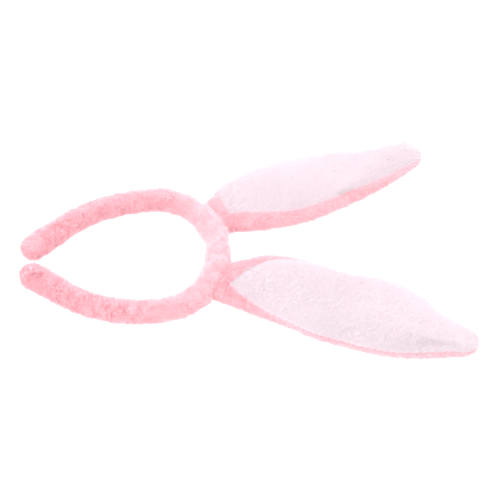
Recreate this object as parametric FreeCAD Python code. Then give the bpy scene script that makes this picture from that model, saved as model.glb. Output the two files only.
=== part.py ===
import FreeCAD, Part
import math
import os

os.makedirs("parts", exist_ok=True)

# Animal ears headband, standing as it is worn.
# +Z is up, the white fronts of the ears face -Y, and the wearer's left is +X.
# The origin is where the inside of the crown rests on the head.
# Lengths are in millimetres and angles in degrees.

# Hoop: its centreline is a chain of tangent arcs, each with a radius and a sweep, and a straight tail.
CROWN_R = 61.5
CROWN_SWEEP = 33.0
SHOULDER_R = 39.5
SHOULDER_SWEEP = 55.0
ARM_R = 86.5
ARM_SWEEP = 43.0
TAIL_LENGTH = 27.0

# Hoop section: a plastic strip in a round wadding core in a plush sleeve.
SLEEVE_OUTER_R = 8.3
SLEEVE_INNER_R = 6.5
WADDING_R = 6.4
STRIP_WIDTH = 9.0
STRIP_THICKNESS = 1.8
STRIP_PLAY = 0.1
STRIP_END_MARGIN = 4.0
SEAM_THREAD_R = 0.45
SEAM_TURN = 150.0

# Spread of the arms, on a pivot in the middle of the strip.
SPREAD_HEADING = 55.0
SPREAD_MAX = 30.0
SPREAD_GAP = 0.2
SPARE_ANGLE = 1.0

# Ears: heights are measured from the hoop's centreline along the ear's own axis.
EAR_HEADING = 25.0
EAR_LENGTH = 177.0
EAR_HALF_WIDTH = 29.5
EAR_WIDEST_AT = 67.5
NECK_HALF_WIDTH = 13.7
TIP_FULLNESS = 0.575
FRONT_BULGE = 3.6
BACK_BULGE = 12.0
NECK_FRONT_BULGE = 4.0
NECK_BACK_BULGE = 12.5
SEAM_DEPTH = -4.2
LINING_START = 22.0
PLUSH_WALL = 1.6
FIT_GAP = 0.1
EAR_STATIONS = [0, 14, 30, 48, 67.5, 90, 112, 134, 152, 165, 174.3]
LEAST_HALF_WIDTH = 0.8
LEAST_BULGE = 0.5

# Lean of the ear round the hoop, and fold of its wired tip.
HUB_R = 8.65
FOLD_AT = 100.0
FOLD_FORWARD = 75.0
FOLD_BACK = 30.0
FOLD_GAP = 0.2
FOLD_MARGIN = 5.0

# Ear wire: a hairpin of round wire held in the wadding, and its turns round the plastic strip.
WIRE_R = 0.7
WIRE_PLAY = 0.1
WIRE_DEPTH = 1.0
WIRE_BEND_R = 30.0
WIRE_TIP_R = 3.0
WIRE_LEG = [(5.0, 11.0), (8.0, 30.0), (14.0, 62.0), (9.0, 112.0), (3.8, 138.0)]
ANCHOR_TURNS = 3
ANCHOR_PITCH = 2.4
ANCHOR_POCKET = 0.3

# Threads.
STITCH_R = 0.35
STITCH_LENGTH = 3.0
STITCH_PITCH = 6.0
GATHER_R = 0.6
GATHER_AT = 16.0
TACK_R = 0.3
TACK_COUNT = 5
TACK_SPACING = 5.0

REACH = 60.0
ACROSS = FreeCAD.Vector(0, 1, 0)
BREAKS = [CROWN_SWEEP, CROWN_SWEEP + SHOULDER_SWEEP, CROWN_SWEEP + SHOULDER_SWEEP + ARM_SWEEP]
END_HEADING = BREAKS[-1]
SIDES = {"left": 1, "right": -1}


def vector(x, y, z):
    return FreeCAD.Vector(x, y, z)


def rad(degrees):
    return math.radians(degrees)


def save(node, shapes):
    """Write one node: a single solid or a group of separate solids."""
    shape = shapes if isinstance(shapes, Part.Shape) else Part.makeCompound(shapes)
    shape.exportStep(f"parts/{node}.step")
    volume = sum(solid.Volume for solid in shape.Solids)
    print(f"{node:28s} solids {len(shape.Solids):3d}  volume {volume:9.1f} mm3  valid {shape.isValid()}")


def mirrored(shape, side):
    """The +X shape for side 1, its mirror image for side -1."""
    return shape if side > 0 else shape.mirror(vector(0, 0, 0), vector(1, 0, 0))


# ---------------------------------------------------------------- hoop

def hoop_point(heading):
    """Point of the centreline where it has turned by this many degrees from the top of the crown."""
    x, z, done = 0.0, SLEEVE_OUTER_R, 0.0
    for radius, sweep in ((CROWN_R, CROWN_SWEEP), (SHOULDER_R, SHOULDER_SWEEP), (ARM_R, ARM_SWEEP)):
        stop = min(abs(heading), done + sweep)
        if stop > done:
            x += radius * (math.sin(rad(stop)) - math.sin(rad(done)))
            z -= radius * (math.cos(rad(done)) - math.cos(rad(stop)))
        done += sweep
    return vector(x if heading >= 0 else -x, 0, z)


def along(heading):
    """Direction of travel towards +X and down."""
    return vector(math.cos(rad(heading)), 0, -math.sin(rad(heading)))


def outward(heading):
    """Direction square to the centreline, away from the head."""
    return vector(math.sin(rad(heading)), 0, math.cos(rad(heading)))


def hoop_path(start, stop, tail, out=0.0, back=0.0):
    """Tangent arcs between two headings and a straight tail, moved outwards and back by fixed steps."""
    def point(heading):
        return hoop_point(heading) + outward(heading) * out + ACROSS * back

    breaks = [-value for value in reversed(BREAKS)] + BREAKS
    stations = [start] + [value for value in breaks if start < value < stop] + [stop]
    edges = []
    for first, last in zip(stations, stations[1:]):
        edges.append(Part.Arc(point(first), point((first + last) / 2), point(last)).toShape())
    if tail > 0:
        edges.append(Part.LineSegment(point(stop), point(stop) + along(stop) * tail).toShape())
    return Part.Wire(edges), point(start)


def round_sweep(start, stop, tail, radius, out=0.0, back=0.0):
    path, begin = hoop_path(start, stop, tail, out, back)
    circle = Part.Wire(Part.Circle(begin, along(start), radius).toShape())
    return path.makePipeShell([circle], True, False)


def strip_sweep(start, stop, tail, width, thickness):
    """Flat bar on the centreline, wide in Y and thin away from the head."""
    path, begin = hoop_path(start, stop, tail)
    side = ACROSS * (width / 2)
    rise = outward(start) * (thickness / 2)
    corners = [begin + side + rise, begin - side + rise, begin - side - rise, begin + side - rise]
    return path.makePipeShell([Part.makePolygon(corners + corners[:1])], True, False)


def spread_gap(side):
    """Wedge between the crown and an arm: narrow on the head's side, open on the outer side."""
    slope = math.tan(rad(SPREAD_MAX + SPARE_ANGLE))
    reach = SLEEVE_OUTER_R + STITCH_LENGTH
    outline = [
        (-reach, -SPREAD_GAP),
        (reach, -SPREAD_GAP),
        (reach, SPREAD_GAP + reach * slope),
        (0, SPREAD_GAP),
        (-reach, SPREAD_GAP),
    ]
    pivot = hoop_point(SPREAD_HEADING)
    points = []
    for out, down in outline:
        point = pivot + outward(SPREAD_HEADING) * out + along(SPREAD_HEADING) * down
        points.append(vector(point.x * side, -REACH / 2, point.z))
    return Part.Face(Part.makePolygon(points + points[:1])).extrude(ACROSS * REACH)


def sleeve(start, stop, tail):
    tube = round_sweep(start, stop, tail, SLEEVE_OUTER_R)
    return tube.cut(round_sweep(start, stop, tail, SLEEVE_INNER_R))


def wadding(start, stop, tail):
    slot = strip_sweep(start, stop, tail, STRIP_WIDTH + 2 * STRIP_PLAY, STRIP_THICKNESS + 2 * STRIP_PLAY)
    return round_sweep(start, stop, tail, WADDING_R).cut(slot)


def seam_thread(start, stop, tail):
    """Thread line that closes the sleeve, low on the back of the tube."""
    out = SLEEVE_OUTER_R * math.cos(rad(SEAM_TURN))
    back = SLEEVE_OUTER_R * math.sin(rad(SEAM_TURN))
    return round_sweep(start, stop, tail, SEAM_THREAD_R, out, back)


def wire_turn(step):
    """One flat turn of the ear wire round the plastic strip, in the ear's frame."""
    half_w = STRIP_WIDTH / 2 + WIRE_R + STRIP_PLAY
    half_t = STRIP_THICKNESS / 2 + WIRE_R + STRIP_PLAY
    signs = ((1, 1), (-1, 1), (-1, -1), (1, -1))
    corners = [vector(step, y * half_w, z * half_t) for y, z in signs]
    turn = Part.makeSphere(WIRE_R, corners[0])
    for first, last in zip(corners, corners[1:] + corners[:1]):
        side = last - first
        rod = Part.makeCylinder(WIRE_R, side.Length, first, side)
        turn = turn.fuse([rod, Part.makeSphere(WIRE_R, last)])
    return turn


def anchor_pocket():
    """Room in the hoop's wadding for the turns of wire, in the ear's frame."""
    length = ANCHOR_PITCH * (ANCHOR_TURNS - 1) + 2 * WIRE_R + 2 * ANCHOR_POCKET
    width = STRIP_WIDTH + 4 * WIRE_R + 2 * STRIP_PLAY + 2 * ANCHOR_POCKET
    height = STRIP_THICKNESS + 4 * WIRE_R + 2 * STRIP_PLAY + 2 * ANCHOR_POCKET
    return Part.makeBox(length, width, height, vector(-length / 2, -width / 2, -height / 2))


def make_crown():
    start, stop = -SPREAD_HEADING, SPREAD_HEADING
    gaps = [spread_gap(1), spread_gap(-1)]
    pockets = [on_hoop(anchor_pocket(), side) for side in SIDES.values()]
    save("hoop_strip_crown", strip_sweep(start, stop, 0, STRIP_WIDTH, STRIP_THICKNESS).cut(gaps))
    save("hoop_wadding_crown", wadding(start, stop, 0).cut(gaps + pockets))
    save("hoop_sleeve_crown", sleeve(start, stop, 0).cut(gaps))
    save("sleeve_seam_crown", seam_thread(start, stop, 0).cut(gaps))
    for name, side in SIDES.items():
        steps = [ANCHOR_PITCH * (turn - (ANCHOR_TURNS - 1) / 2) for turn in range(ANCHOR_TURNS)]
        save(f"wire_anchor_{name}", [on_hoop(wire_turn(step), side) for step in steps])
        save(f"ear_base_tacks_{name}", [on_hoop(tack, side) for tack in base_tacks()])


def strip_tip(tail):
    """Half-round end of the plastic strip."""
    end = hoop_point(END_HEADING) + along(END_HEADING) * tail
    base = end - outward(END_HEADING) * (STRIP_THICKNESS / 2)
    return Part.makeCylinder(STRIP_WIDTH / 2, STRIP_THICKNESS, base, outward(END_HEADING))


def sleeve_end():
    """Rounded, gathered end of the sleeve: half a ball with a wall as thick as the sleeve's."""
    end = hoop_point(END_HEADING) + along(END_HEADING) * (TAIL_LENGTH + FIT_GAP)
    ball = Part.makeSphere(SLEEVE_OUTER_R, end).cut(Part.makeSphere(SLEEVE_INNER_R, end))
    below = Part.makeCylinder(2 * SLEEVE_OUTER_R, 2 * SLEEVE_OUTER_R, end, along(END_HEADING))
    return ball.common(below)


def make_arm(name, side):
    start, stop, gap = SPREAD_HEADING, END_HEADING, spread_gap(1)
    strip_tail = TAIL_LENGTH - STRIP_END_MARGIN
    strip = strip_sweep(start, stop, strip_tail, STRIP_WIDTH, STRIP_THICKNESS).fuse(strip_tip(strip_tail))
    save(f"hoop_strip_{name}", mirrored(strip.removeSplitter().cut(gap), side))
    save(f"hoop_wadding_{name}", mirrored(wadding(start, stop, TAIL_LENGTH).cut(gap), side))
    save(f"hoop_sleeve_{name}", mirrored(sleeve(start, stop, TAIL_LENGTH).cut(gap), side))
    save(f"sleeve_seam_{name}", mirrored(seam_thread(start, stop, TAIL_LENGTH).cut(gap), side))
    save(f"sleeve_end_{name}", mirrored(sleeve_end(), side))


# ---------------------------------------------------------------- ears
# An ear is drawn upright on the hoop's centreline: X across it, -Y its white front, Z up to its tip.

def on_hoop(shape, side):
    """Carry a shape from the ear's frame to its place on the +X or the -X half of the crown."""
    placed = shape.copy()
    placed.rotate(vector(0, 0, 0), ACROSS, EAR_HEADING)
    placed.translate(hoop_point(EAR_HEADING))
    return mirrored(placed, side)


def half_width(height):
    if height <= EAR_WIDEST_AT:
        grow = math.sin(rad(90) * height / EAR_WIDEST_AT)
        return NECK_HALF_WIDTH + (EAR_HALF_WIDTH - NECK_HALF_WIDTH) * grow
    run = (height - EAR_WIDEST_AT) / (EAR_LENGTH - EAR_WIDEST_AT)
    return EAR_HALF_WIDTH * (1 - run ** 2) ** TIP_FULLNESS


def bulge(height, neck, full):
    """Thickness in front of or behind the seam: even over the neck and thinner towards the tip."""
    if height <= EAR_WIDEST_AT:
        return neck + (full - neck) * height / EAR_WIDEST_AT
    run = (height - EAR_WIDEST_AT) / (EAR_LENGTH - EAR_WIDEST_AT)
    return full * math.sqrt(1 - run ** 4)


def section(height, inset):
    """Outline of the ear at a height: a shallow half ellipse in front and a deep one behind, drawn in."""
    centre = vector(0, SEAM_DEPTH, height)
    side = centre + vector(max(half_width(height) - inset, LEAST_HALF_WIDTH), 0, 0)
    arcs = []
    for facing, neck, full in ((1, NECK_BACK_BULGE, BACK_BULGE), (-1, NECK_FRONT_BULGE, FRONT_BULGE)):
        depth = max(bulge(height, neck, full) - inset, LEAST_BULGE)
        crest = centre + vector(0, facing * depth, 0)
        arcs.append(Part.ArcOfEllipse(Part.Ellipse(side, crest, centre), 0, math.pi).toShape())
    return Part.Wire(arcs)


def ear_volume(inset):
    """The ear's whole volume, drawn in by the inset."""
    return Part.makeLoft([section(height, inset) for height in EAR_STATIONS], True, False)


def hub():
    """Room for the hoop's sleeve to turn in the ear's base."""
    return Part.makeCylinder(HUB_R, 2 * REACH, vector(-REACH, 0, 0), vector(1, 0, 0))


def fold_gap():
    """Double wedge across the ear where its wire bends, wider on the front."""
    front = math.tan(rad((FOLD_FORWARD + SPARE_ANGLE) / 2))
    back = math.tan(rad((FOLD_BACK + SPARE_ANGLE) / 2))
    reach = 2 * BACK_BULGE
    outline = [
        (0, -FOLD_GAP),
        (-reach, -FOLD_GAP - reach * front),
        (-reach, FOLD_GAP + reach * front),
        (0, FOLD_GAP),
        (reach, FOLD_GAP + reach * back),
        (reach, -FOLD_GAP - reach * back),
    ]
    points = [vector(-REACH, WIRE_DEPTH + y, FOLD_AT + z) for y, z in outline]
    return Part.Face(Part.makePolygon(points + points[:1])).extrude(vector(2 * REACH, 0, 0))


def level_solids(shape, level):
    """The solids of a shape that lie below or above the fold."""
    return [solid for solid in shape.Solids if (solid.CenterOfMass.z < FOLD_AT) == (level == "lower")]


def front_space(gap):
    """Everything in front of the edge seam and above the gathered neck, grown by the gap."""
    corner = vector(-REACH, SEAM_DEPTH + gap - REACH, LINING_START - gap)
    return Part.makeBox(2 * REACH, REACH, EAR_LENGTH, corner)


def base_tacks():
    """Short threads that sew the ear's base to the sleeve, in the ear's frame."""
    tacks = []
    for facing in (-1, 1):
        for index in range(TACK_COUNT):
            across = TACK_SPACING * (index - (TACK_COUNT - 1) / 2)
            drop = across ** 2 / (2 * CROWN_R)
            start = vector(across, facing * (SLEEVE_INNER_R + TACK_R), -drop)
            tacks.append(Part.makeCylinder(TACK_R, STITCH_LENGTH, start, vector(0, 0, 1)))
    return tacks


def wire_path():
    """Corners of the hairpin, up one leg, over the tip and down the other."""
    up = [vector(x, WIRE_DEPTH, z) for x, z in WIRE_LEG]
    down = [vector(-point.x, WIRE_DEPTH, point.z) for point in reversed(up)]
    radii = [WIRE_BEND_R] * (len(WIRE_LEG) - 2) + [WIRE_TIP_R] * 2 + [WIRE_BEND_R] * (len(WIRE_LEG) - 2)
    return up + down, radii


def rounded_wire(points, radii):
    """Straight runs joined by tangent arcs."""
    edges = []
    last = points[0]
    for before, corner, after, radius in zip(points, points[1:], points[2:], radii):
        incoming = (corner - before).normalize()
        outgoing = (after - corner).normalize()
        turn = incoming.getAngle(outgoing)
        cut = radius * math.tan(turn / 2)
        first, end = corner - incoming * cut, corner + outgoing * cut
        inside = (outgoing - incoming).normalize()
        middle = corner + inside * (radius / math.cos(turn / 2) - radius)
        edges.append(Part.LineSegment(last, first).toShape())
        edges.append(Part.Arc(first, middle, end).toShape())
        last = end
    edges.append(Part.LineSegment(last, points[-1]).toShape())
    return Part.Wire(edges)


def ear_wire(radius):
    points, radii = wire_path()
    section = Part.Wire(Part.Circle(points[0], points[1] - points[0], radius).toShape())
    return rounded_wire(points, radii).makePipeShell([section], True, False)


def edge_stitches():
    """Threads of the seam between the back and the lining, along both edges of the ear."""
    stitches = []
    low = LINING_START + STITCH_PITCH / 2
    while low + STITCH_LENGTH < EAR_STATIONS[-1]:
        high = low + STITCH_LENGTH
        clear_of_fold = high < FOLD_AT - FOLD_MARGIN or low > FOLD_AT + FOLD_MARGIN
        for facing in (-1, 1) if clear_of_fold else ():
            start = vector(facing * (half_width(low) - STITCH_R), SEAM_DEPTH, low)
            stop = vector(facing * (half_width(high) - STITCH_R), SEAM_DEPTH, high)
            stitches.append(Part.makeCylinder(STITCH_R, (stop - start).Length, start, stop - start))
        low += STITCH_PITCH
    return stitches


def neck_gather():
    """Gathering thread drawn tight round the neck of the ear."""
    path = section(GATHER_AT, 0)
    start = vector(half_width(GATHER_AT), SEAM_DEPTH, GATHER_AT)
    thread = Part.Wire(Part.Circle(start, ACROSS, GATHER_R).toShape())
    return path.makePipeShell([thread], True, False)


def make_ear(name, side):
    shell = ear_volume(0).cut([ear_volume(PLUSH_WALL), hub(), fold_gap()])
    filling = ear_volume(PLUSH_WALL + FIT_GAP).cut([hub(), fold_gap(), ear_wire(WIRE_R + WIRE_PLAY)])
    pieces = {
        "back": shell.cut(front_space(FIT_GAP)),
        "lining": shell.common(front_space(-FIT_GAP)),
        "wadding": filling,
        "wire": ear_wire(WIRE_R).cut(fold_gap()),
        "seam": Part.makeCompound(edge_stitches()),
    }
    for level in ("lower", "upper"):
        for piece, shape in pieces.items():
            solids = [on_hoop(solid, side) for solid in level_solids(shape, level)]
            save(f"ear_{piece}_{name}_{level}", solids)
    save(f"ear_neck_gather_{name}", on_hoop(neck_gather(), side))


make_crown()
for side_name, side_sign in SIDES.items():
    make_arm(side_name, side_sign)
    make_ear(side_name, side_sign)
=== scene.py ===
# %% [markdown]
# A rabbit-ears headband is a springy plastic hoop in a plush tube, with two stuffed ears sewn to its
# crown. The engineering model holds the sizes, the joints and the hard parts inside. This file makes
# everything that is seen: knitted plush covers, their pile, the padding, and the threads.

# %% Load the frame
import math
from dataclasses import dataclass

import bmesh
import bpy
import numpy as np
from mathutils import Matrix, Vector, noise


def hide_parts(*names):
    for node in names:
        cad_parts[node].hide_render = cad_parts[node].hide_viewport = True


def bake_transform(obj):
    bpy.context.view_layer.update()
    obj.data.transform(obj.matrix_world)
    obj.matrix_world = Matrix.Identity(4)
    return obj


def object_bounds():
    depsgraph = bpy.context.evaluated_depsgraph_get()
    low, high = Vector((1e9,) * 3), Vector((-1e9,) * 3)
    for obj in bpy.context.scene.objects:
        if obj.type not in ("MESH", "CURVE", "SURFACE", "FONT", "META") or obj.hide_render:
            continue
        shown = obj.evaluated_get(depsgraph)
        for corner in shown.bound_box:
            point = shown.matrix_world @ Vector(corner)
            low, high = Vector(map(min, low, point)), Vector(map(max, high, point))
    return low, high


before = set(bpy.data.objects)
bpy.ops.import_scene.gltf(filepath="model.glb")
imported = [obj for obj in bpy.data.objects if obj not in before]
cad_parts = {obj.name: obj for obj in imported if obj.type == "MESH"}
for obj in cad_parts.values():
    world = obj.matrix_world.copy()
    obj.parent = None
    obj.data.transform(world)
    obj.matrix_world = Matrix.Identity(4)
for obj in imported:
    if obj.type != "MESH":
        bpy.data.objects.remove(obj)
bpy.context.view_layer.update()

MM = 0.001
SIDES = {"left": 1, "right": -1}

# %% [markdown]
# Shader maths reads best as ordinary expressions, so a socket is wrapped in a small class whose operators
# add Math nodes. One method makes every other kind of node. Each material below is then a few lines.

# %% A socket that can be calculated with
@dataclass
class Signal:
    shader: "Shader"
    socket: object

    def math(self, kind, other=None, swap=False):
        inputs = [self, other] if other is not None else [self]
        if swap:
            inputs.reverse()
        return self.shader.node("ShaderNodeMath", {"operation": kind}, inputs)

    def __add__(self, other):
        return self.math("ADD", other)

    __radd__ = __add__

    def __mul__(self, other):
        return self.math("MULTIPLY", other)

    __rmul__ = __mul__

    def __sub__(self, other):
        return self.math("SUBTRACT", other)

    def __rsub__(self, other):
        return self.math("SUBTRACT", other, swap=True)

    def sine(self):
        return self.math("SINE")

    def clamped(self):
        return self.shader.node("ShaderNodeClamp", {}, [self])


class Shader:
    """A new material with a Principled BSDF, and short ways to add nodes to it."""

    def __init__(self, name, **fixed):
        self.material = bpy.data.materials.new(name)
        self.material.use_nodes = True
        self.nodes = self.material.node_tree.nodes
        self.links = self.material.node_tree.links
        self.surface = self.nodes["Principled BSDF"]
        for socket, value in fixed.items():
            self.surface.inputs[socket.replace("_", " ").title()].default_value = value

    def node(self, kind, settings, inputs, output=0):
        made = self.nodes.new(kind)
        for name, value in settings.items():
            setattr(made, name, value)
        pairs = inputs.items() if isinstance(inputs, dict) else enumerate(inputs)
        for key, value in pairs:
            if isinstance(value, Signal):
                self.links.new(value.socket, made.inputs[key])
            else:
                made.inputs[key].default_value = value
        return Signal(self, made.outputs[output])

    def place(self):
        return self.node("ShaderNodeTexCoord", {}, {}, "Object")

    def coordinates(self):
        split = self.node("ShaderNodeSeparateXYZ", {}, [self.place()])
        return [Signal(self, split.socket.node.outputs[axis]) for axis in "XYZ"]

    def attribute(self, name):
        return self.node("ShaderNodeAttribute", {"attribute_name": name}, {}, "Fac")

    def noise(self, scale, detail=2.0, rough=0.5):
        sizes = {"Vector": self.place(), "Scale": scale, "Detail": detail, "Roughness": rough}
        return self.node("ShaderNodeTexNoise", {}, sizes)

    def mix(self, share, first, second):
        settings = {"data_type": "RGBA", "clamp_factor": True}
        return self.node("ShaderNodeMix", settings, {0: share, 6: first, 7: second}, 2)

    def bump(self, height, strength, distance):
        inputs = {"Height": height, "Strength": strength, "Distance": distance}
        return self.node("ShaderNodeBump", {}, inputs)

    def feed(self, **signals):
        for socket, signal in signals.items():
            self.links.new(signal.socket, self.surface.inputs[socket.replace("_", " ").title()])
        return self.material


# %% [markdown]
# Plush is a knitted backing with a cut pile standing on it. Light goes in between the fibres, bounces off
# several of them and comes out stronger in colour, and that shade is painted into the colour as well: the
# roots are painted deeper than the tips. Two attributes on every fibre make this: how far along the fibre a
# point is, and a random tint for the whole fibre.

# %% Pile materials
# Painted shade: each root colour is deeper than its tip, as if shaded by the fibres round it.
PINK_TIP = (1.0, 0.800, 0.826, 1)
PINK_ROOT_SHADE = (1.0, 0.520, 0.594, 1)
PINK_PATCH = (1.0, 0.670, 0.715, 1)
WHITE_TIP = (0.805, 0.735, 0.768, 1)
WHITE_ROOT_SHADE = (0.790, 0.710, 0.750, 1)
WHITE_PATCH = (0.795, 0.705, 0.755, 1)
PATCH_SCALE = 60.0


def pile_material(name, root, tip, patch_tint):
    shader = Shader(name, Sheen_Weight=0.12, Sheen_Roughness=0.6)
    shader.surface.inputs["Specular IOR Level"].default_value = 0.15
    # Painted shade: the colour runs from the deeper root to the lighter tip along each fibre.
    along = shader.mix(shader.attribute("reach"), root, tip)
    fibres = shader.mix(shader.attribute("tint") * 0.5, along, patch_tint)
    patches = shader.mix(shader.noise(PATCH_SCALE) * 0.35, fibres, patch_tint)
    rough = 0.8 + shader.attribute("tint") * 0.2
    return shader.feed(Base_Color=patches, Roughness=rough)


pink_pile = pile_material("pink plush pile", PINK_ROOT_SHADE, PINK_TIP, PINK_PATCH)
white_pile = pile_material("white plush pile", WHITE_ROOT_SHADE, WHITE_TIP, WHITE_PATCH)
print("pile materials:", pink_pile.name, "and", white_pile.name)

# %% [markdown]
# The backing shows only where the pile parts. It is a fine warp knit: rows of loops about a millimetre
# apart. A picture of cloth could be wrapped round it, but crossed sine waves in Object coordinates need
# no unwrapping and draw the loops both as colour and as a bump. Sewing thread is twisted, so one slanting
# wave draws its strands, and wadding is a tangle, so it is fine noise.

# %% Backing, padding and thread
KNIT_ROWS = 2 * math.pi / (0.9 * MM)
THREAD_TWIST = 2 * math.pi / (0.5 * MM)


def backing_material(name, deep, light):
    shader = Shader(name)
    x, y, z = shader.coordinates()
    loops = ((x + y) * KNIT_ROWS).sine() * (z * KNIT_ROWS).sine()
    height = (loops * 0.5 + 0.5).clamped()
    colour = shader.mix(height * 0.7 + shader.noise(90.0) * 0.3, deep, light)
    normal = shader.bump(height, 0.4, 0.2 * MM)
    return shader.feed(Base_Color=colour, Normal=normal, Roughness=0.8 + height * 0.15)


def wadding_material():
    shader = Shader("polyester wadding", Roughness=0.9)
    fibres = shader.noise(420.0, 6.0, 0.75)
    colour = shader.mix(fibres, (0.80, 0.80, 0.82, 1), (0.96, 0.96, 0.97, 1))
    return shader.feed(Base_Color=colour, Normal=shader.bump(fibres, 0.6, 0.5 * MM))


def thread_material(name, deep, light):
    shader = Shader(name, Roughness=0.6)
    x, y, z = shader.coordinates()
    twist = ((x + y + z) * THREAD_TWIST).sine() * 0.5 + 0.5
    colour = shader.mix(twist, deep, light)
    return shader.feed(Base_Color=colour, Normal=shader.bump(twist, 0.5, 0.1 * MM))


pink_backing = backing_material("pink plush backing", (0.98, 0.56, 0.62, 1), (1.0, 0.70, 0.74, 1))
white_backing = backing_material("white plush backing", (0.78, 0.67, 0.72, 1), (0.81, 0.72, 0.77, 1))
wadding = wadding_material()
pink_thread = thread_material("pink sewing thread", (0.85, 0.30, 0.38, 1), (0.98, 0.48, 0.55, 1))
print("soft materials:", pink_backing.name, white_backing.name, wadding.name, pink_thread.name, sep="\n  ")

# %% [markdown]
# Two hard materials are hidden in the plush: a moulded plastic strip, which is cloudy with faint flow
# marks, and drawn steel wire, whose fine lines change its shine. Stretched noise would draw the lines
# exactly, but the wire is too thin for anyone to tell, so plain fine noise is enough for both.

# %% Plastic and steel
def strip_material():
    shader = Shader("moulded polypropylene strip")
    flow = shader.noise(140.0, 3.0)
    colour = shader.mix(flow, (0.82, 0.82, 0.80, 1), (0.90, 0.90, 0.88, 1))
    normal = shader.bump(shader.noise(900.0), 0.15, 0.05 * MM)
    return shader.feed(Base_Color=colour, Roughness=0.28 + flow * 0.2, Normal=normal)


def steel_material():
    shader = Shader("drawn steel wire", Metallic=1.0)
    lines = shader.noise(1500.0, 3.0)
    colour = shader.mix(lines, (0.48, 0.48, 0.50, 1), (0.66, 0.66, 0.67, 1))
    return shader.feed(Base_Color=colour, Roughness=0.25 + lines * 0.2)


strip_plastic = strip_material()
steel = steel_material()
print("hard materials:", strip_plastic.name, "and", steel.name)

# %% [markdown]
# The plastic strip, the wires inside the ears and the tacks already have their true shape, so they stay
# as they come and only get a finish.

# %% Finish the hard parts
def paint(node, material):
    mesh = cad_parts[node].data
    mesh.materials.clear()
    mesh.materials.append(material)


KEPT = {"hoop_strip": strip_plastic, "wire_anchor": steel, "ear_wire": steel, "ear_base_tacks": pink_thread}
for node_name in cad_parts:
    for start_word, finish_material in KEPT.items():
        if node_name.startswith(start_word):
            paint(node_name, finish_material)
print("kept parts:", [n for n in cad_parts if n.startswith(tuple(KEPT))])

# %% [markdown]
# The hoop is bent from one strip, so its centreline turns but never breaks. A drawn spline could follow
# it, but a chain of tangent arcs with a short straight tail is closer to how a strip is formed. A place
# on it is told by its heading: how far it has turned from the top of the crown. The ears stand at a
# heading of 25 degrees, and the arms bend at 55 when they spread.

# %% Centreline of the hoop
HOOP_ARCS = ((61.5 * MM, 33.0), (39.5 * MM, 55.0), (86.5 * MM, 43.0))
TAIL = 27.0 * MM
CROWN_TOP = 8.3 * MM
EAR_HEADING = 25.0
SPREAD_HEADING = 55.0


def along(heading):
    return Vector((math.cos(math.radians(heading)), 0, -math.sin(math.radians(heading))))


def outward(heading):
    return Vector((math.sin(math.radians(heading)), 0, math.cos(math.radians(heading))))


def hoop_at(distance):
    """Point and heading of the centreline, this far from the top of the crown towards +X."""
    point, heading = Vector((0, 0, CROWN_TOP)), 0.0
    for radius, sweep in HOOP_ARCS:
        turn = min(sweep, math.degrees(max(distance, 0.0) / radius))
        point = point + (outward(heading + turn) - outward(heading)) * radius
        heading += turn
        distance -= math.radians(sweep) * radius
        if turn < sweep:
            return point, heading
    return point + along(heading) * distance, heading


def distance_of(heading):
    """Length of the centreline up to a heading."""
    length = 0.0
    for radius, sweep in HOOP_ARCS:
        length += math.radians(min(sweep, max(heading, 0.0))) * radius
        heading -= sweep
    return length


HOOP_HALF = distance_of(sum(sweep for _, sweep in HOOP_ARCS)) + TAIL
ear_foot, _ = hoop_at(distance_of(EAR_HEADING))
spread_pivot, _ = hoop_at(distance_of(SPREAD_HEADING))
print("half of the hoop measures", round(HOOP_HALF / MM, 1), "mm")

# %% [markdown]
# A cover is cloth with a thickness, so it is a thin closed shell. Its outer face is drawn first as a net
# of quads, which later also carries the pile, and a Solidify modifier gives it the thickness of the
# backing. The wall's rims are set sharp, or smooth shading would smear a dark line along every cut edge.

# %% Helpers for meshes
RIM_ANGLE = 55.0


def put_in_scene(name, data):
    made = bpy.data.objects.new(name, data)
    bpy.context.scene.collection.objects.link(made)
    return made


def make_object(name, verts, faces, material, smooth=True):
    mesh = bpy.data.meshes.new(name)
    mesh.from_pydata([tuple(v) for v in verts], [], faces)
    mesh.materials.append(material)
    if smooth:
        mesh.shade_smooth()
    return put_in_scene(name, mesh)


def evaluated(source, name):
    """A plain mesh object of what a source object's modifiers make."""
    graph = bpy.context.evaluated_depsgraph_get()
    return put_in_scene(name, bpy.data.meshes.new_from_object(source.evaluated_get(graph)))


def discard(*objects):
    for unwanted in objects:
        bpy.data.objects.remove(unwanted)


def face_outwards(target, fill_rim=False):
    """Turns every face outwards, after an open rim has been filled if that is asked."""
    shape = bmesh.new()
    shape.from_mesh(target.data)
    if fill_rim:
        bmesh.ops.holes_fill(shape, edges=[edge for edge in shape.edges if edge.is_boundary])
    bmesh.ops.recalc_face_normals(shape, faces=shape.faces)
    shape.to_mesh(target.data)
    shape.free()


def thickened(outer, name, thickness):
    """A closed shell under an outer face, as thick as the cloth."""
    wall = outer.modifiers.new("cloth", "SOLIDIFY")
    wall.thickness = thickness
    wall.offset = -1.0
    wall.use_rim = True
    made = evaluated(outer, name)
    made.data.set_sharp_from_angle(angle=math.radians(RIM_ANGLE))
    outer.modifiers.remove(wall)
    return made


def shown_triangles(target):
    return sum(len(face.vertices) - 2 for face in target.data.polygons)


print("a cover's rim is sharp where it turns more than", RIM_ANGLE, "degrees")

# %% [markdown]
# Pile and stitches are the same small shape over and over, which is the work of Geometry Nodes. A tree
# can be drawn by hand in the editor, but written as steps it can be read and built again. This class adds
# a node, sets it, links it and hands back the output that the next step needs.

# %% A node tree written as steps
@dataclass
class Plug:
    """One output of a geometry node."""
    socket: object


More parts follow.
